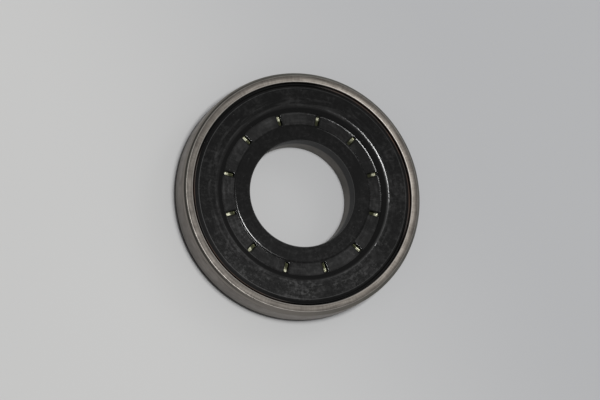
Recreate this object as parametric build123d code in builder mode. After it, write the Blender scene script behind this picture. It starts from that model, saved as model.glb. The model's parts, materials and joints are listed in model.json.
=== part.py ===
"""Cassette radial shaft seal, 35 x 80 x 12.5 mm.

A pressed steel case is fixed in the housing.  It carries an angled inner case with
the rubber lips and the garter spring.  A steel sleeve with a rubber-faced flange is
fixed on the shaft and turns inside the case.  The sealing lip runs on this sleeve.

Z is the shaft axis.  The oil side is the plane Z = 0 and the air side faces up.
Sections are drawn as (radius, height) in the XZ plane and revolved about Z.
"""

from math import atan, tan
import os

from build123d import *

# ---- Fitting sizes (mm) ----
shaft_diameter = 35.0
housing_diameter = 80.0
width = 12.5

# ---- Outer case: a tube of sheet steel, curled inwards at the air side ----
case_sheet = 1.6
rim_width = 3.3
rim_crown = 0.12
rim_edge_radius = 0.35
rim_chamfer_step = 1.1
rim_chamfer_run = 1.5
curl_radius = 1.0
lead_in_step = 0.45
lead_in_run = 1.7
sheet_edge_radius = 0.2

# ---- Inner case: an angle ring pressed into the outer case ----
insert_sheet = 1.4
insert_bend = 0.6
insert_recess = 1.2
web_reach = 5.5

# ---- Running sleeve: a joggled tube with a flange at the air side ----
sleeve_sheet = 1.2
sleeve_bend = 0.4
sleeve_recess = 0.3
sleeve_nose_step = 0.5
sleeve_nose_run = 0.9
bore_lining = 1.2
neck_run = 0.5
joggle_run = 0.9
flange_edge_cover = 2.8

# ---- Rubber facing of the sleeve ----
facing_recess = 0.1
facing_rubber = 2.5
bead_clearance = 0.4
bead_radius = 0.6
rim_gap = 0.5
edge_ridge_width = 0.3
edge_ridge_height = 0.17
edge_ridge_recess = 0.53
edge_bevel_run = 1.03
face_edge_radius = 0.35
face_wall_run = 1.9
face_wall_drop = 0.9
wall_edge_radius = 1.0
band_step = 0.4
band_step_run = 0.1
band_edge_radius = 0.5
band_foot_radius = 0.1
slot_band_width = 3.95
collar_width = 5.05
collar_foot = 0.4
collar_recess = 1.0
collar_edge_radius = 0.7
mouth_radius = 0.15

# ---- Slots in the facing, open down to the flange ----
slot_count = 12
slot_length = 3.0
slot_width = 1.0
slot_corner = 0.3
slot_draft = 8.0
slot_edge_radius = 0.2

# ---- Sealing rubber ----
lip_clearance = 0.08
lip_recess = 1.5
lip_nose_height = 1.1
lip_head_width = 2.7
lip_head_height = 2.8
lip_back_step = 1.3
lip_back_run = 1.9
oil_skin = 0.6
air_skin = 0.4
edge_wrap = 1.4
dust_lip_root = 1.2
dust_lip_tip = 0.3
dust_lip_sweep = 0.85
axial_lip_count = 2
axial_lip_start = 2.8
axial_lip_pitch = 4.0
axial_lip_root = 0.9
axial_lip_tip = 0.4
axial_lip_lean = 0.9
lip_space = 1.7

# ---- Garter spring ----
garter_coil = 1.6
garter_offset = 0.5
groove_clearance = 0.05

# ---- Clearance between the turning and the fixed pieces ----
running_gap = 0.3

# ---- Radii and heights that follow ----
shaft_r = shaft_diameter / 2
case_r = housing_diameter / 2
case_bore_r = case_r - case_sheet
rim_inner_r = case_r - rim_width
curl_under = width - case_sheet

face_top = width - facing_recess
flange_front = face_top - facing_rubber
flange_back = flange_front - sleeve_sheet
web_top = flange_back - lip_space
web_under = web_top - insert_sheet

lining_r = shaft_r + bore_lining
sleeve_r = shaft_r + sleeve_sheet
neck_r = lining_r + sleeve_sheet
joggle_high = flange_front - sleeve_bend - sleeve_sheet - neck_run
joggle_low = joggle_high - joggle_run
joggle_offset = sleeve_sheet * tan(atan(bore_lining / joggle_run) / 2)

bead_r = case_bore_r - bead_clearance
flange_r = bead_r - flange_edge_cover
facing_r = rim_inner_r - rim_gap
face_outer_r = facing_r - edge_ridge_width - edge_bevel_run
collar_r = shaft_r + collar_width
band_inner_r = collar_r + collar_foot
band_outer_r = band_inner_r + slot_band_width
wall_foot_r = band_outer_r + band_step_run
face_inner_r = wall_foot_r + face_wall_run
slot_middle_r = (band_inner_r + band_outer_r) / 2
wall_foot = face_top - face_wall_drop
band_floor = wall_foot - band_step
collar_top = face_top - collar_recess

insert_bore_r = case_bore_r - insert_sheet
web_bore_r = sleeve_r + web_reach
wrap_r = web_bore_r - edge_wrap
contact_r = sleeve_r + lip_clearance
contact_height = lip_recess + lip_nose_height
head_r = contact_r + lip_head_width
garter_r = head_r - garter_coil / 2 + 2 * groove_clearance
garter_height = contact_height + garter_offset


def ring_section(*corners):
    """Draw a closed section through corners given as (radius, height, corner radius)."""
    with BuildLine() as outline:
        FilletPolyline(
            *[(radius, height) for radius, height, _ in corners],
            radius=[rounding for _, _, rounding in corners],
            close=True,
        )
    make_face(outline.edges())


# ---- Outer case ----
with BuildPart() as outer_case:
    with BuildSketch(Plane.XZ) as case_section:
        crown_start = (rim_inner_r, width - rim_crown)
        crown_end = (case_r - rim_chamfer_step, width - rim_crown)
        with BuildLine():
            FilletPolyline(
                crown_end,
                (case_r, width - rim_chamfer_run),
                (case_r, lead_in_run),
                (case_r - lead_in_step, 0),
                (case_bore_r, 0),
                (case_bore_r, curl_under),
                (rim_inner_r, curl_under),
                crown_start,
                radius=[
                    rim_edge_radius,
                    lead_in_run / 2,
                    sheet_edge_radius,
                    sheet_edge_radius,
                    curl_radius,
                    sheet_edge_radius,
                ],
            )
            ThreePointArc(crown_start, ((rim_inner_r + crown_end[0]) / 2, width), crown_end)
        make_face()
        fillet(case_section.vertices().sort_by_distance(crown_start)[0], rim_edge_radius)
    revolve(axis=Axis.Z)

# ---- Inner case ----
with BuildPart() as inner_case:
    with BuildSketch(Plane.XZ):
        ring_section(
            (case_bore_r, insert_recess, sheet_edge_radius),
            (case_bore_r, web_top, insert_bend + insert_sheet),
            (web_bore_r, web_top, 0),
            (web_bore_r, web_under, 0),
            (insert_bore_r, web_under, insert_bend),
            (insert_bore_r, insert_recess, sheet_edge_radius),
        )
    revolve(axis=Axis.Z)

# ---- Running sleeve ----
with BuildPart() as running_sleeve:
    with BuildSketch(Plane.XZ):
        ring_section(
            (shaft_r, sleeve_recess, sheet_edge_radius),
            (shaft_r, joggle_low, 0),
            (lining_r, joggle_high, 0),
            (lining_r, flange_front, sleeve_bend + sleeve_sheet),
            (flange_r, flange_front, 0),
            (flange_r, flange_back, 0),
            (neck_r, flange_back, sleeve_bend),
            (neck_r, joggle_high - joggle_offset, 0),
            (sleeve_r, joggle_low - joggle_offset, 0),
            (sleeve_r, sleeve_recess + sleeve_nose_run, sheet_edge_radius),
            (sleeve_r - sleeve_nose_step, sleeve_recess, sheet_edge_radius),
        )
    revolve(axis=Axis.Z)

# ---- Rubber facing, moulded onto the sleeve ----
with BuildPart() as sleeve_facing:
    with BuildSketch(Plane.XZ):
        ring_section(
            (shaft_r, joggle_low, 0),
            (lining_r, joggle_high, 0),
            (lining_r, flange_front, sleeve_bend + sleeve_sheet),
            (flange_r, flange_front, 0),
            (flange_r, flange_back, 0),
            (bead_r, flange_back, face_edge_radius),
            (bead_r, curl_under - running_gap, bead_radius),
            (facing_r, curl_under - running_gap, edge_ridge_height),
            (facing_r, face_top - edge_ridge_recess, edge_ridge_height / 2),
            (facing_r - edge_ridge_width, face_top - edge_ridge_recess, edge_ridge_height / 2),
            (facing_r - edge_ridge_width, face_top - edge_ridge_recess - edge_ridge_height, 0),
            (face_outer_r, face_top, face_edge_radius),
            (face_inner_r, face_top, wall_edge_radius),
            (wall_foot_r, wall_foot, band_edge_radius),
            (band_outer_r, band_floor, band_foot_radius),
            (band_inner_r, band_floor, band_foot_radius),
            (collar_r, collar_top, collar_edge_radius),
            (shaft_r, collar_top, mouth_radius),
        )
    revolve(axis=Axis.Z)
    # Slots that widen upwards from the flange, with rounded edges at the band's floor
    with BuildSketch(Plane.XY.offset(flange_front)):
        with PolarLocations(slot_middle_r, slot_count):
            RectangleRounded(slot_length, slot_width, slot_corner)
    extrude(amount=band_floor - flange_front, taper=-slot_draft, mode=Mode.SUBTRACT)
    floor_edges = sleeve_facing.edges().filter_by_position(Axis.Z, band_floor, band_floor)
    fillet(floor_edges.filter_by(lambda edge: edge.length < 2 * slot_length), slot_edge_radius)

# ---- Sealing rubber, moulded onto the inner case ----
with BuildPart() as seal_lip:
    with BuildSketch(Plane.XZ):
        last_lip_r = web_bore_r + axial_lip_start + (axial_lip_count - 1) * axial_lip_pitch
        air_skin_r = last_lip_r + axial_lip_root
        oil_skin_r = insert_bore_r - insert_bend
        # Rubber around the inner edge of the web and over its two sides
        ring_section(
            (wrap_r, web_under - oil_skin, 0),
            (oil_skin_r, web_under - oil_skin, oil_skin / 2),
            (oil_skin_r, web_under, 0),
            (web_bore_r, web_under, 0),
            (web_bore_r, web_top, 0),
            (air_skin_r, web_top, 0),
            (air_skin_r, web_top + air_skin, air_skin / 2),
            (wrap_r, web_top + air_skin, edge_wrap / 2),
        )
        # Sealing lip on its slanting membrane
        ring_section(
            (contact_r, contact_height, 0),
            (contact_r + lip_nose_height, lip_recess, sheet_edge_radius),
            (head_r, lip_recess, sheet_edge_radius),
            (head_r, lip_recess + lip_head_height, 0),
            (wrap_r + edge_wrap / 2, web_under - oil_skin, 0),
            (wrap_r, web_under, 0),
            (contact_r + lip_back_step, contact_height + lip_back_run, sheet_edge_radius),
        )
        # Dust lip, swept towards the air side
        ring_section(
            (wrap_r + edge_wrap / 2, web_under - oil_skin, 0),
            (contact_r, web_under + dust_lip_sweep - dust_lip_root, 0),
            (contact_r + dust_lip_tip, web_under + dust_lip_sweep - dust_lip_root + dust_lip_tip, 0),
            (wrap_r + edge_wrap / 2, web_under - oil_skin + dust_lip_root, 0),
        )
        # Axial lips, leaning outwards below the turning flange
        for index in range(axial_lip_count):
            lip_r = web_bore_r + axial_lip_start + index * axial_lip_pitch
            ring_section(
                (lip_r - axial_lip_root / 2, web_top + air_skin / 2, 0),
                (lip_r + axial_lip_root / 2, web_top + air_skin / 2, 0),
                (lip_r + axial_lip_lean + axial_lip_tip / 2, flange_back - running_gap, 0),
                (lip_r + axial_lip_lean - axial_lip_tip / 2, flange_back - running_gap, 0),
            )
        # Groove that holds the garter spring
        with Locations((garter_r, garter_height)):
            Circle(garter_coil / 2 + groove_clearance, mode=Mode.SUBTRACT)
    revolve(axis=Axis.Z)

# ---- Garter spring, drawn at the outside of its closed coils ----
with BuildPart() as garter_spring:
    with BuildSketch(Plane.XZ):
        with Locations((garter_r, garter_height)):
            Circle(garter_coil / 2)
    revolve(axis=Axis.Z)

# ---- Export ----
os.makedirs("parts", exist_ok=True)
for name, piece in (
    ("outer_case", outer_case),
    ("inner_case", inner_case),
    ("seal_lip", seal_lip),
    ("garter_spring", garter_spring),
    ("running_sleeve", running_sleeve),
    ("sleeve_facing", sleeve_facing),
):
    piece.part.label = name
    export_step(piece.part, f"parts/{name}.step")
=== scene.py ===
"""Looks of a cassette radial shaft seal: finishes, coiled garter spring, floor, light and camera.

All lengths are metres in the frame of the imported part, with the shaft axis on Z.
"""
import json
from functools import cached_property
from math import cos, pi, radians, sin, tau

import bpy
from mathutils import Matrix, Vector


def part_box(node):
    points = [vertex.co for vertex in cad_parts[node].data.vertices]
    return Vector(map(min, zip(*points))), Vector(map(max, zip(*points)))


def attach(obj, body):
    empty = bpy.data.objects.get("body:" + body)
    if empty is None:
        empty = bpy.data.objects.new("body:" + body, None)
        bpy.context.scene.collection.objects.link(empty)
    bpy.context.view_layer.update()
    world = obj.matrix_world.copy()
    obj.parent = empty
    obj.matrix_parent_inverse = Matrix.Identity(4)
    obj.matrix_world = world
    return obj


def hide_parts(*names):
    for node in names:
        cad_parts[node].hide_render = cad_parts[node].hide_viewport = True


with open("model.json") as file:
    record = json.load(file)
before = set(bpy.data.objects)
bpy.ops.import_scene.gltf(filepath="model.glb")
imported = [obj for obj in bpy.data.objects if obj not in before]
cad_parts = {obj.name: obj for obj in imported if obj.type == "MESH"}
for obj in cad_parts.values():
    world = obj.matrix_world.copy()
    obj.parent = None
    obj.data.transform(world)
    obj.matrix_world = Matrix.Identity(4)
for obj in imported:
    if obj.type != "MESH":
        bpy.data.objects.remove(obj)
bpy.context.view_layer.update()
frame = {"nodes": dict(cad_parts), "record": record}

MM = 0.001

# ---- Sizes read from the frame ----
CASE_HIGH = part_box("outer_case")[1]
FACING_LOW, FACING_HIGH = (corner.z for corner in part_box("sleeve_facing"))
FLANGE_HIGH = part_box("running_sleeve")[1].z
SPRING_LOW, SPRING_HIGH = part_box("garter_spring")
SHAFT_R = frame["record"]["mounts"][0]["dims"]["r_mm"] * MM

# ---- Radii and heights on the case ----
RIM_OUTER_R = CASE_HIGH.x - 1.1 * MM
RIM_INNER_R = CASE_HIGH.x - 3.3 * MM
CHAMFER_FOOT = CASE_HIGH.z - 1.5 * MM
LEAD_IN_LEVEL = 2.5 * MM

# ---- Radii and heights on the rubber facing, from its outer edge to its bore ----
FACING_R = CASE_HIGH.x - 3.8 * MM
FACE_OUTER_R = CASE_HIGH.x - 5.13 * MM
FACE_INNER_R = CASE_HIGH.x - 11.0 * MM
BAND_EDGE_R = SHAFT_R + 9.15 * MM
COLLAR_R = SHAFT_R + 5.05 * MM
WALL_TOP = FACING_HIGH - 0.35 * MM
WALL_FOOT = FACING_HIGH - 0.9 * MM
SLOT_MOUTH = FACING_HIGH - 1.34 * MM

# ---- The ring of slots, the first of which lies on +X ----
SLOT_COUNT = 12
SLOT_MIDDLE_R = SHAFT_R + 7.425 * MM
SLOT_HALF_LENGTH = 1.5 * MM
SLOT_HALF_WIDTH = 0.5 * MM

# ---- Where wear, dirt, painted light and painted shade lie: directions in X and Y from the middle of the ring ----
# Towards the next side, painted shade darkens the rim face, and painted light brightens the
# chamfer and the floor.
PAINTED_LIGHT_AND_SHADE_SIDE = (-0.79, -0.61)
SHADED_SIDE = (-1.0, -0.1)
GREASY_SIDE = (-0.3, -0.95)
# Towards the next side the facing holds less film, and at both ends of the ring along it lies
# painted sheen on the slot band.
WIPED_AND_SHEEN_SIDE = (-0.69, 0.73)
SOFT_SIDE = (0.91, -0.41)
RUSTY_SIDES = (-0.72, -0.69)

# ---- Camera, as the ring is seen in a picture 600 pixels wide ----
PICTURE_WIDTH = 600
PICTURE_HEIGHT = 400
SENSOR_WIDTH = 36.0
RIM_CENTRE_PIXEL = (303.3, 192.9)
PIXELS_PER_METRE = 3096.0
AXIS_TILT = radians(19.5)
AXIS_LEAN = radians(34.3)
FIRST_SLOT_ANGLE = radians(13.7)
CAMERA_DISTANCE = 1.1

# ---- Light and floor ----
LAMP_DISTANCE = 1.3
LAMPS = (
    # name, how far right and up of the camera's own direction, size, watts
    ("key_lamp", 0.28, 0.19, 0.22, 13.0),
    ("side_lamp", 2.2, 1.6, 0.4, 0.8),
)
STUDIO_GREY = (0.2, 0.2, 0.2, 1)
FLOOR_HALF_WIDTH = 1.5


def grey(level, warmth=0.0):
    """A linear colour of that level, redder and less blue as warmth grows."""
    return (level * (1 + warmth), level, level * (1 - warmth), 1.0)


# ---- Colours, linear. A pair is mixed from its first colour to its second ----
CASE_SIDE = ((0.165, 0.145, 0.128, 1), (0.225, 0.2, 0.178, 1))
CASE_SIDE_SHADED = (0.045, 0.045, 0.04, 1)
CASE_SIDE_LINES = (0.03, 0.025, 0.02, 1)
CASE_CHAMFER = ((0.12, 0.115, 0.096, 1), (0.17, 0.162, 0.138, 1))
# Painted light on one side of the chamfer
CASE_CHAMFER_PAINTED_LIGHT = (0.3, 0.275, 0.25, 1)
# Painted shade in a band on the chamfer
CASE_GROOVE_SHADE = (0.03, 0.03, 0.024, 1)
CASE_FACE = ((0.112, 0.099, 0.086, 1), (0.193, 0.175, 0.155, 1))
# Painted shade on one side of the rim face; it also darkens the face's outer half
CASE_FACE_DARKER_AND_SHADE = (0.02, 0.018, 0.016, 1)
# Burnished wear and painted highlight on the rim's corners
CASE_BURNISH_AND_HIGHLIGHT = (0.38, 0.355, 0.325, 1)
# Painted shade in the gap inside the curl, going to rust
CASE_CURL_SHADE_AND_RUST = ((0.004, 0.002, 0.001, 1), (0.035, 0.015, 0.007, 1))
# Painted shade on the lead-in edge by the floor
CASE_LEAD_IN_SHADE = (0.012, 0.008, 0.006, 1)
INSERT = (grey(0.3, 0.05), grey(0.4, 0.04))
SLEEVE_TURNED = (grey(0.4, 0.08), grey(0.5, 0.06))
SLEEVE_BORE = ((0.075, 0.07, 0.06, 1), (0.12, 0.108, 0.094, 1))
SLEEVE_SEAM = (0.02, 0.018, 0.015, 1)
SLEEVE_PLATED = ((0.14, 0.14, 0.09, 1), (0.38, 0.38, 0.29, 1))
# Dirt, and painted shade along the slot walls
SLOT_DIRT_AND_SHADE = (0.02, 0.021, 0.01, 1)
# Bare rubber to grey film, also used for painted sheen and painted highlights
FACING_BARE_TO_FILM_AND_SHEEN = (grey(0.004), grey(0.03, 0.01))
FACING_RUST = (0.055, 0.025, 0.012, 1)
LIP = (grey(0.008), grey(0.02))
SPRING = (grey(0.5, 0.05), grey(0.65, 0.03))
# Floor from far to near; the near end is painted light
FLOOR_FAR_TO_NEAR = ((0.44, 0.445, 0.455, 1), (0.56, 0.56, 0.555, 1))


class Finish:
    """A node material in the making. Its members add nodes and give their outputs."""

    def __init__(self, name, metallic, roughness):
        self.material = bpy.data.materials.new(name)
        self.material.use_nodes = True
        self.nodes = self.material.node_tree.nodes
        self.links = self.material.node_tree.links
        self.shader = self.nodes["Principled BSDF"]
        self.shader.inputs["Metallic"].default_value = metallic
        self.shader.inputs["Roughness"].default_value = roughness
        self.place = self.nodes.new("ShaderNodeTexCoord").outputs["Object"]

    def feed(self, socket, value):
        """Link an output to a socket, or set the socket to a plain value."""
        if isinstance(value, bpy.types.NodeSocket):
            self.links.new(value, socket)
        else:
            socket.default_value = value

    def math(self, operation, first, second=0.0):
        """The output of one math node."""
        node = self.nodes.new("ShaderNodeMath")
        node.operation = operation
        self.feed(node.inputs[0], first)
        self.feed(node.inputs[1], second)
        return node.outputs[0]

    def add(self, total, *values):
        for value in values:
            total = self.math("ADD", total, value)
        return total

    def subtract(self, first, second):
        return self.math("SUBTRACT", first, second)

    def multiply(self, product, *values):
        for value in values:
            product = self.math("MULTIPLY", product, value)
        return product

    def larger(self, first, second):
        return self.math("MAXIMUM", first, second)

    def rest_of(self, share):
        """What a share leaves of one."""
        return self.subtract(1.0, share)

    def span(self, value, low, high, start=0.0, end=1.0):
        """Map value smoothly from low..high to start..end, held beyond the ends."""
        node = self.nodes.new("ShaderNodeMapRange")
        node.interpolation_type = "SMOOTHSTEP"
        for socket, number in zip(node.inputs, (value, low, high, start, end)):
            self.feed(socket, number)
        return node.outputs[0]

    def zone(self, value, low, high, fade):
        """One where value lies from low to high, fading to zero within fade outside."""
        rise = self.span(value, low - fade, low)
        fall = self.span(value, high, high + fade, 1.0, 0.0)
        return self.multiply(rise, fall)

    @cached_property
    def axes(self):
        """The coordinates x, y and z of the shaded point."""
        node = self.nodes.new("ShaderNodeSeparateXYZ")
        self.links.new(self.place, node.inputs[0])
        return node.outputs[0], node.outputs[1], node.outputs[2]

    @cached_property
    def radius(self):
        """The distance of the shaded point from the shaft axis."""
        x, y, _ = self.axes
        return self.math("SQRT", self.add(self.multiply(x, x), self.multiply(y, y)))

    def vector(self, x, y, z):
        """A vector put together from its three parts."""
        node = self.nodes.new("ShaderNodeCombineXYZ")
        for socket, value in zip(node.inputs, (x, y, z)):
            self.feed(socket, value)
        return node.outputs[0]

    def around(self):
        """A unit vector that depends on the angle about the shaft alone."""
        x, y, _ = self.axes
        node = self.nodes.new("ShaderNodeVectorMath")
        node.operation = "NORMALIZE"
        self.links.new(self.vector(x, y, 0.0), node.inputs[0])
        return node.outputs[0]

    def circling(self):
        """A vector in which noise stretches into smears along circles about the shaft."""
        x, y, _ = self.axes
        stretch = 0.12
        return self.vector(self.radius, self.multiply(x, stretch), self.multiply(y, stretch))

    def turning(self):
        """A vector in which noise makes fine rings, as drawing and turning leave them."""
        return self.vector(self.radius, 0.0, self.axes[2])

    def noise(self, vector, scale, detail=3.0, roughness=0.5):
        """Noise about a half, with its largest marks about 1 / scale across."""
        node = self.nodes.new("ShaderNodeTexNoise")
        self.links.new(vector, node.inputs["Vector"])
        node.inputs["Scale"].default_value = scale
        node.inputs["Detail"].default_value = detail
        node.inputs["Roughness"].default_value = roughness
        return node.outputs["Fac"]

    def toward(self, direction, start=0.0, end=1.0, reach=CASE_HIGH.x):
        """Go smoothly from start at reach on one side to end at reach along direction."""
        x, y, _ = self.axes
        along = self.add(self.multiply(x, direction[0]), self.multiply(y, direction[1]))
        return self.span(along, -reach, reach, start, end)

    def both_ends(self, direction, low, high):
        """One at both ends of the ring along direction, fading to zero between them."""
        return self.span(self.math("ABSOLUTE", self.toward(direction, -1.0, 1.0)), low, high)

    def beyond_slot(self):
        """How far the point lies outside the foot of the nearest slot, below zero within it."""
        x, y, _ = self.axes
        turn = self.math("PINGPONG", self.math("ARCTAN2", y, x), pi / SLOT_COUNT)
        across = self.subtract(self.multiply(self.radius, turn), SLOT_HALF_WIDTH)
        along = self.math("ABSOLUTE", self.subtract(self.radius, SLOT_MIDDLE_R))
        return self.larger(across, self.subtract(along, SLOT_HALF_LENGTH))

    def mix(self, share, first, second):
        """Blend two colours by share."""
        node = self.nodes.new("ShaderNodeMix")
        node.data_type = "RGBA"
        self.feed(node.inputs["Factor"], share)
        # A Mix node has its colours on inputs 6 and 7, and on output 2.
        self.feed(node.inputs[6], first)
        self.feed(node.inputs[7], second)
        return node.outputs[2]

    def bump(self, height, distance, base=None, strength=1.0):
        """A normal bent by height, on top of the normal base."""
        node = self.nodes.new("ShaderNodeBump")
        node.inputs["Distance"].default_value = distance
        self.feed(node.inputs["Strength"], strength)
        self.links.new(height, node.inputs["Height"])
        if base is not None:
            self.links.new(base, node.inputs["Normal"])
        return node.outputs["Normal"]

    def done(self, colour, roughness=None, normal=None):
        """Link what is given to the shader, and return the material."""
        for name, value in (("Base Color", colour), ("Roughness", roughness), ("Normal", normal)):
            if value is not None:
                self.links.new(value, self.shader.inputs[name])
        return self.material


def case_side_colour(finish, blotches):
    """The straight side: blotched, darker low on the shaded side, with two faint drawn lines."""
    z = finish.axes[2]
    colour = finish.mix(blotches, *CASE_SIDE)
    low = finish.span(z, 3 * MM, 7.5 * MM, 1.0, 0.0)
    shaded = finish.multiply(low, finish.toward(SHADED_SIDE, 0.0, 0.5))
    colour = finish.mix(shaded, colour, CASE_SIDE_SHADED)
    upper_line = finish.zone(z, CHAMFER_FOOT - 0.35 * MM, CHAMFER_FOOT - 0.2 * MM, 0.15 * MM)
    lower_line = finish.zone(z, CHAMFER_FOOT - 4.15 * MM, CHAMFER_FOOT - 4.0 * MM, 0.2 * MM)
    lines = finish.add(finish.multiply(upper_line, 0.5), finish.multiply(lower_line, 0.2))
    return finish.mix(lines, colour, CASE_SIDE_LINES)


def case_face_colour(finish, streaks):
    """The flat of the rim: streaks across it, bands along it, darker outside, and painted shade
    on one side.
    """
    bands = finish.noise(finish.circling(), 1500.0, 3.0, 0.6)
    tone = finish.add(finish.multiply(streaks, 0.4), finish.multiply(bands, 0.6))
    colour = finish.mix(finish.span(tone, 0.38, 0.62), *CASE_FACE)
    outer_half = finish.span(
        finish.radius, RIM_OUTER_R - 1.3 * MM, RIM_OUTER_R - 0.4 * MM, 0.0, 0.3)
    # Painted shade: the face darkens towards one side; it is also darker on its outer half.
    darker_and_shade = finish.add(outer_half, finish.toward(PAINTED_LIGHT_AND_SHADE_SIDE, 0.0, 0.5))
    return finish.mix(darker_and_shade, colour, CASE_FACE_DARKER_AND_SHADE)


def case_steel():
    """Pressed sheet: matt, grey-brown, with rim corners painted light as burnish and highlight,
    and a lead-in edge painted dark as shade.
    """
    metallic = 0.85
    finish = Finish("case_steel", metallic, 0.5)
    z = finish.axes[2]
    radius = finish.radius
    streaks = finish.noise(finish.around(), 70.0, 3.0, 0.7)
    blotches = finish.span(finish.noise(finish.place, 90.0, 5.0, 0.6), 0.35, 0.65)

    chamfer = finish.mix(blotches, *CASE_CHAMFER)
    # Painted light: the chamfer grows paler towards one side.
    chamfer = finish.mix(finish.toward(PAINTED_LIGHT_AND_SHADE_SIDE, -0.4, 1.0), chamfer, CASE_CHAMFER_PAINTED_LIGHT)
    above_side = finish.span(z, CHAMFER_FOOT - 0.1 * MM, CHAMFER_FOOT + 0.1 * MM)
    colour = finish.mix(above_side, case_side_colour(finish, blotches), chamfer)
    # Painted shade: a dark band on the chamfer, on the shaded side only.
    groove = finish.zone(z, CASE_HIGH.z - 0.85 * MM, CASE_HIGH.z - 0.4 * MM, 0.1 * MM)
    shaded = finish.span(finish.toward(SHADED_SIDE), 0.6, 1.0, 0.0, 0.85)
    colour = finish.mix(finish.multiply(groove, shaded), colour, CASE_GROOVE_SHADE)
    above_chamfer = finish.span(z, CASE_HIGH.z - 0.3 * MM, CASE_HIGH.z - 0.2 * MM)
    colour = finish.mix(above_chamfer, colour, case_face_colour(finish, streaks))

    # Painted highlight, partly burnished wear: pale lines on the rim's outer and inner corners;
    # the inner one is also made less metallic so that it shows pale.
    outer_corner = finish.zone(radius, RIM_OUTER_R - 0.05 * MM, RIM_OUTER_R + 0.05 * MM, 0.1 * MM)
    inner_corner = finish.zone(radius, RIM_INNER_R + 0.12 * MM, RIM_INNER_R + 0.3 * MM, 0.08 * MM)
    corners = finish.add(finish.multiply(outer_corner, 0.6), inner_corner)
    colour = finish.mix(finish.multiply(corners, 0.7), colour, CASE_BURNISH_AND_HIGHLIGHT)
    # Painted shade: the inside of the curl, down in the gap by the rubber, is painted near black,
    # turning to rust at both ends.
    inside = finish.span(radius, RIM_INNER_R + 0.02 * MM, RIM_INNER_R + 0.12 * MM, 1.0, 0.0)
    rusty = finish.both_ends(RUSTY_SIDES, 0.7, 0.97)
    colour = finish.mix(inside, colour, finish.mix(rusty, *CASE_CURL_SHADE_AND_RUST))
    # Painted shade: the lead-in edge next to the floor is painted near black, and roughened.
    lead_in = finish.span(z, LEAD_IN_LEVEL - 0.3 * MM, LEAD_IN_LEVEL + 0.3 * MM, 1.0, 0.0)
    colour = finish.mix(finish.multiply(lead_in, 0.96), colour, CASE_LEAD_IN_SHADE)

    roughness = finish.span(finish.noise(finish.place, 400.0, 4.0), 0.3, 0.7, 0.42, 0.52)
    roughness = finish.subtract(roughness, finish.multiply(corners, 0.12))
    roughness = finish.add(roughness, finish.multiply(lead_in, 0.45))
    bright_metal = finish.span(inner_corner, 0.0, 1.0, metallic, 0.4)
    finish.feed(finish.shader.inputs["Metallic"], bright_metal)
    normal = finish.bump(finish.noise(finish.turning(), 2600.0, 2.0), 0.012 * MM)
    normal = finish.bump(streaks, 0.007 * MM, normal)
    return finish.done(colour, roughness, normal)


def insert_steel():
    """The hidden inner case: plain pressed steel."""
    finish = Finish("insert_steel", 0.9, 0.45)
    stains = finish.noise(finish.place, 150.0, 4.0, 0.6)
    colour = finish.mix(finish.span(stains, 0.35, 0.65), *INSERT)
    return finish.done(colour, normal=finish.bump(stains, 0.05 * MM))


def sleeve_steel():
    """Bright running surface, stained bore, and a yellow-green flange, dirty towards the inner
    ends of the slots, with painted shade along their walls.
    """
    finish = Finish("sleeve_steel", 0.9, 0.3)
    z = finish.axes[2]
    radius = finish.radius
    spots = finish.noise(finish.place, 900.0, 3.0, 0.6)
    blotches = finish.span(finish.noise(finish.place, 200.0, 4.0, 0.6), 0.35, 0.65)

    bore = finish.mix(blotches, *SLEEVE_BORE)
    seam = finish.zone(z, FACING_LOW - 0.5 * MM, FACING_LOW, 0.1 * MM)
    bore = finish.mix(finish.multiply(seam, 0.7), bore, SLEEVE_SEAM)
    off_bore = (radius, SHAFT_R + 0.1 * MM, SHAFT_R + 0.3 * MM)
    colour = finish.mix(finish.span(*off_bore), bore, finish.mix(blotches, *SLEEVE_TURNED))

    plated = finish.mix(finish.span(spots, 0.42, 0.6), *SLEEVE_PLATED)
    edge_of_dirt = finish.add(radius, finish.multiply(spots, 1.6 * MM))
    outer_end = finish.span(edge_of_dirt, SLOT_MIDDLE_R + 0.6 * MM, SLOT_MIDDLE_R + 1.3 * MM)
    # Painted shade: the slot floor is dark along the walls; towards each slot's inner end it is
    # dark with dirt.
    open_floor = finish.span(finish.beyond_slot(), -0.2 * MM, 0.0, 1.0, 0.0)
    plated = finish.mix(finish.multiply(outer_end, open_floor), SLOT_DIRT_AND_SHADE, plated)
    flange = finish.span(z, FLANGE_HIGH - 0.5 * MM, FLANGE_HIGH - 0.3 * MM)
    colour = finish.mix(flange, colour, plated)

    normal = finish.bump(finish.noise(finish.turning(), 3000.0, 2.0), 0.01 * MM)
    return finish.done(colour, finish.span(*off_bore, 0.5, 0.3), normal)


def facing_flats(finish):
    """How well each place of the facing holds the film: the flats do, walls and slots don't."""
    z = finish.axes[2]
    face = finish.span(z, WALL_TOP, FACING_HIGH - 0.02 * MM)
    below_wall = finish.span(z, WALL_FOOT - 0.07 * MM, WALL_FOOT, 0.9, 0.0)
    off_collar = finish.span(finish.radius, COLLAR_R, COLLAR_R + 0.4 * MM, 0.55, 1.0)
    above_slots = finish.span(z, SLOT_MOUTH - 0.08 * MM, SLOT_MOUTH)
    return finish.multiply(finish.add(face, below_wall), off_collar, above_slots)


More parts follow.
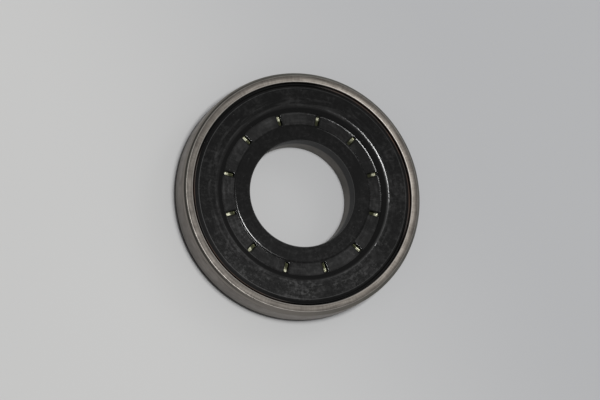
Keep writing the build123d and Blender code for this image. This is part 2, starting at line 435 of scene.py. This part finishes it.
def facing_film_and_sheen(finish, clouds, mottle, band, wiped, holding):
    """How much greasy grey film, painted sheen and painted highlight lie on the facing, from none
    at zero to a full coat at one.
    """
    radius = finish.radius
    handled = finish.multiply(finish.toward(GREASY_SIDE, 0.66, 0.8), finish.rest_of(wiped))
    patches = finish.multiply(
        finish.span(clouds, 0.38, 0.62, 0.15, 1.0),
        finish.span(mottle, 0.46, 0.63),
        finish.span(band, 0.0, 1.0, 1.0, 0.4),
    )
    wipes = finish.noise(finish.around(), 26.0, 4.0, 0.75)
    streaks = finish.multiply(finish.span(wipes, 0.5, 0.72), finish.span(clouds, 0.35, 0.6))
    blots = finish.span(finish.noise(finish.place, 270.0, 3.0, 0.6), 0.5, 0.66, 0.0, 0.3)
    rubs = finish.noise(finish.circling(), 1100.0, 4.0, 0.6)
    rubbed = finish.multiply(finish.span(rubs, 0.46, 0.7), finish.span(clouds, 0.32, 0.62))
    film = finish.add(patches, finish.multiply(streaks, 0.5), blots, finish.multiply(rubbed, 0.5))
    film = finish.add(finish.multiply(film, handled), finish.multiply(handled, 0.04))

    # Painted sheen: two lobes of grey on the slot band, at both ends of the ring along one
    # direction.
    ends = finish.both_ends(WIPED_AND_SHEEN_SIDE, 0.6, 1.0)
    painted_sheen = finish.multiply(
        finish.span(ends, 0.0, 1.0, 0.15, 1.0),
        band,
        finish.span(clouds, 0.3, 0.6, 0.2, 0.55),
    )
    inner_face = finish.zone(radius, FACE_INNER_R, FACE_INNER_R + 2 * MM, 2 * MM)
    arcs = finish.multiply(
        finish.span(rubs, 0.48, 0.62),
        inner_face,
        finish.toward(WIPED_AND_SHEEN_SIDE, 0.02, 0.3),
    )
    film = finish.larger(finish.multiply(finish.add(film, painted_sheen, arcs), holding), 0.0)

    # Painted highlight: pale lines along the top of the face's inner wall and round the bore
    # mouth.
    face_edge = finish.zone(radius, FACE_INNER_R - 0.4 * MM, FACE_INNER_R + 0.2 * MM, 0.6 * MM)
    bore_edge = finish.zone(radius, SHAFT_R + 0.07 * MM, SHAFT_R + 0.2 * MM, 0.05 * MM)
    painted_edge_highlights = finish.multiply(finish.add(face_edge, bore_edge), 0.22)
    specks = finish.span(finish.noise(finish.place, 1500.0, 1.0), 0.74, 0.8)
    return finish.add(film, painted_edge_highlights, finish.multiply(specks, 0.8))


def facing_roughness(finish, film, wiped, painted_shade_by_slots, rusty):
    """Glossy where bare or wiped, and rough in the bore, on rusty bevels and on soft edges."""
    radius = finish.radius
    gloss = finish.multiply(
        finish.span(film, 0.0, 1.0, 0.17, 0.25),
        finish.span(wiped, 0.0, 0.6, 1.0, 0.72),
        finish.span(painted_shade_by_slots, 0.0, 1.0, 1.0, 0.6),
    )
    bevel = finish.multiply(finish.span(radius, FACE_OUTER_R - 0.3 * MM, FACE_OUTER_R), rusty)
    bore = finish.span(radius, SHAFT_R + 0.05 * MM, SHAFT_R + 0.3 * MM, 1.0, 0.0)
    outer_edge = finish.zone(radius, FACE_OUTER_R - 0.1 * MM, FACE_OUTER_R + 0.05 * MM, 0.12 * MM)
    inner_edge = finish.zone(radius, FACE_INNER_R - 0.5 * MM, FACE_INNER_R - 0.1 * MM, 0.15 * MM)
    inner_edge = finish.multiply(inner_edge, finish.span(finish.toward(SOFT_SIDE), 0.7, 1.0))
    rough = finish.larger(finish.add(bevel, bore), finish.multiply(outer_edge, 0.7))
    rough = finish.larger(rough, finish.multiply(inner_edge, 0.85))
    return finish.add(gloss, finish.multiply(rough, 0.45))


def facing_rubber():
    """Black moulded rubber: a greasy grey film on its flats with painted sheen and highlights,
    painted shade round the slots, glossy bare walls and edges.
    """
    finish = Finish("facing_rubber", 0.0, 0.2)
    finish.shader.inputs["Specular IOR Level"].default_value = 0.31
    radius = finish.radius
    clouds = finish.noise(finish.place, 85.0, 4.0, 0.6)
    mottle = finish.noise(finish.place, 800.0, 6.0, 0.7)
    flats = facing_flats(finish)
    band = finish.zone(radius, COLLAR_R + 0.4 * MM, FACE_INNER_R - 2 * MM, 0.4 * MM)
    wiped = finish.multiply(finish.toward(WIPED_AND_SHEEN_SIDE, 0.0, 0.6), finish.rest_of(band))
    # Painted shade: round each slot's mouth the film is kept off, so the rubber shows dark there,
    # and glossier.
    painted_shade_by_slots = finish.span(finish.beyond_slot(), 0.2 * MM, 0.7 * MM, 1.0, 0.0)
    rusty = finish.both_ends(RUSTY_SIDES, 0.7, 0.97)

    holding = finish.subtract(flats, painted_shade_by_slots)
    film = facing_film_and_sheen(finish, clouds, mottle, band, wiped, holding)
    # The film's colour also carries painted sheen on the slot band, painted highlights on edges
    # and painted shade round the slots.
    colour = finish.mix(film, *FACING_BARE_TO_FILM_AND_SHEEN)
    rust = finish.multiply(
        finish.span(radius, FACING_R - 0.3 * MM, FACING_R - 0.2 * MM),
        finish.span(clouds, 0.35, 0.65),
        rusty,
    )
    colour = finish.mix(rust, colour, FACING_RUST)

    band_edge = finish.span(radius, BAND_EDGE_R - 0.17 * MM, BAND_EDGE_R + 0.17 * MM)
    normal = finish.bump(mottle, 0.03 * MM, strength=flats)
    normal = finish.bump(band_edge, 0.07 * MM, normal)
    return finish.done(colour, facing_roughness(finish, film, wiped, painted_shade_by_slots, rusty), normal)


def lip_rubber():
    """Clean dark rubber with a dull skin."""
    finish = Finish("lip_rubber", 0.0, 0.35)
    cloud = finish.noise(finish.place, 500.0, 5.0, 0.6)
    colour = finish.mix(finish.span(cloud, 0.4, 0.7), *LIP)
    return finish.done(colour, normal=finish.bump(cloud, 0.03 * MM))


def spring_wire():
    """Bright drawn wire, a little tarnished."""
    finish = Finish("spring_wire", 1.0, 0.25)
    tarnish = finish.noise(finish.place, 300.0, 3.0)
    return finish.done(finish.mix(finish.span(tarnish, 0.4, 0.6), *SPRING))


def wear(node, material):
    """Give a CAD node its finish."""
    mesh = frame["nodes"][node].data
    mesh.materials.clear()
    mesh.materials.append(material)


def add_object(name, data):
    """Put an object with that data in the scene."""
    made = bpy.data.objects.new(name, data)
    bpy.context.scene.collection.objects.link(made)
    return made


def garter_coil(material):
    """The garter spring as one close-wound coil, inside the torus that stands for it."""
    wire_r = 0.2 * MM
    wire_pitch = 2.04 * wire_r
    steps_per_turn = 14
    wire_sides = 6
    coil_r = (SPRING_HIGH.z - SPRING_LOW.z) / 2 - wire_r
    ring_r = SPRING_HIGH.x - coil_r - wire_r
    middle = (SPRING_HIGH.z + SPRING_LOW.z) / 2
    total = int(tau * ring_r / wire_pitch) * steps_per_turn

    def on_ring(step, reach, height):
        """The point at that reach from the shaft and that height, as far round as step is."""
        turn = tau * step / total
        return Vector((reach * cos(turn), reach * sin(turn), height))

    def on_coil(step):
        """The middle of the wire."""
        turn = tau * step / steps_per_turn
        return on_ring(step, ring_r + coil_r * cos(turn), middle + coil_r * sin(turn))

    points = []
    faces = []
    for step in range(total):
        here = on_coil(step)
        along = (on_coil(step + 1) - on_coil(step - 1)).normalized()
        outward = (here - on_ring(step, ring_r, middle)).normalized()
        across = along.cross(outward).normalized()
        this_loop = step * wire_sides
        next_loop = (step + 1) % total * wire_sides
        for side in range(wire_sides):
            angle = tau * side / wire_sides
            points.append(here + wire_r * (cos(angle) * outward + sin(angle) * across))
            next_side = (side + 1) % wire_sides
            faces.append((this_loop + side, this_loop + next_side,
                          next_loop + next_side, next_loop + side))
    mesh = bpy.data.meshes.new("garter_coil")
    mesh.from_pydata(points, [], faces)
    mesh.polygons.foreach_set("use_smooth", [True] * len(mesh.polygons))
    mesh.materials.append(material)
    coil = add_object("garter_coil", mesh)
    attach(coil, "case")
    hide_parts("garter_spring")


def camera_axes():
    """The part's X, Y and Z directions as the camera sees them: to its right, up and nearer.

    The shaft axis is tilted away from the line of sight, towards AXIS_LEAN above the right of the
    picture. The first slot, on X, lies FIRST_SLOT_ANGLE below the right of the picture.
    """
    z = Vector((sin(AXIS_TILT) * cos(AXIS_LEAN), sin(AXIS_TILT) * sin(AXIS_LEAN), cos(AXIS_TILT)))
    level = Vector((sin(AXIS_LEAN), -cos(AXIS_LEAN), 0.0))
    nearer = z.cross(level) * -1
    turn = FIRST_SLOT_ANGLE - (pi / 2 - AXIS_LEAN)
    x = level * cos(turn) + nearer * sin(turn)
    y = z.cross(x)
    return x, y, z


def place_camera():
    """Put the camera where the rim has its place and size in the picture."""
    turn = Matrix(camera_axes())
    right, up, back = turn.col
    shift_right = (RIM_CENTRE_PIXEL[0] - PICTURE_WIDTH / 2) / PIXELS_PER_METRE
    shift_up = (PICTURE_HEIGHT / 2 - RIM_CENTRE_PIXEL[1]) / PIXELS_PER_METRE
    rim_centre = Vector((0, 0, CASE_HIGH.z))
    spot = rim_centre + back * CAMERA_DISTANCE - right * shift_right - up * shift_up
    data = bpy.data.cameras.new("camera")
    data.sensor_width = SENSOR_WIDTH
    data.lens = PIXELS_PER_METRE * CAMERA_DISTANCE / PICTURE_WIDTH * SENSOR_WIDTH
    data.clip_start = 0.01
    data.clip_end = 20.0
    camera = add_object("camera", data)
    camera.matrix_world = Matrix.Translation(spot) @ turn.to_4x4()
    bpy.context.scene.camera = camera
    return right, up, back


def light_scene(right, up, back):
    """Square soft lamps that face the seal, in an evenly grey studio."""
    for name, steps_right, steps_up, size, watts in LAMPS:
        direction = (back + steps_right * right + steps_up * up).normalized()
        data = bpy.data.lights.new(name, "AREA")
        data.size = size
        data.energy = watts
        lamp = add_object(name, data)
        lamp.location = direction * LAMP_DISTANCE
        lamp.rotation_euler = direction.to_track_quat("Z", "Y").to_euler()
    world = bpy.data.worlds.new("studio")
    world.use_nodes = True
    background = world.node_tree.nodes["Background"]
    background.inputs["Color"].default_value = STUDIO_GREY
    background.inputs["Strength"].default_value = 1.0
    bpy.context.scene.world = world


def lay_floor():
    """A pale plain floor under the seal, with painted light making it a little lighter towards
    the near left corner.
    """
    corners = [(x * FLOOR_HALF_WIDTH, y * FLOOR_HALF_WIDTH, 0)
               for x, y in ((-1, -1), (1, -1), (1, 1), (-1, 1))]
    mesh = bpy.data.meshes.new("floor")
    mesh.from_pydata(corners, [], [(0, 1, 2, 3)])
    finish = Finish("floor_paint", 0.0, 0.8)
    # Painted light: the floor brightens towards the near left corner.
    near = finish.toward(PAINTED_LIGHT_AND_SHADE_SIDE, reach=2 * CASE_HIGH.x)
    cloud = finish.multiply(finish.noise(finish.place, 9.0, 1.0), 0.2)
    shade = finish.add(near, finish.subtract(cloud, 0.1))
    mesh.materials.append(finish.done(finish.mix(shade, *FLOOR_FAR_TO_NEAR)))
    floor = add_object("floor", mesh)


wear("outer_case", case_steel())
wear("inner_case", insert_steel())
wear("running_sleeve", sleeve_steel())
wear("sleeve_facing", facing_rubber())
wear("seal_lip", lip_rubber())
garter_coil(spring_wire())
lay_floor()
light_scene(*place_camera())
bpy.context.scene.view_settings.view_transform = "Standard"
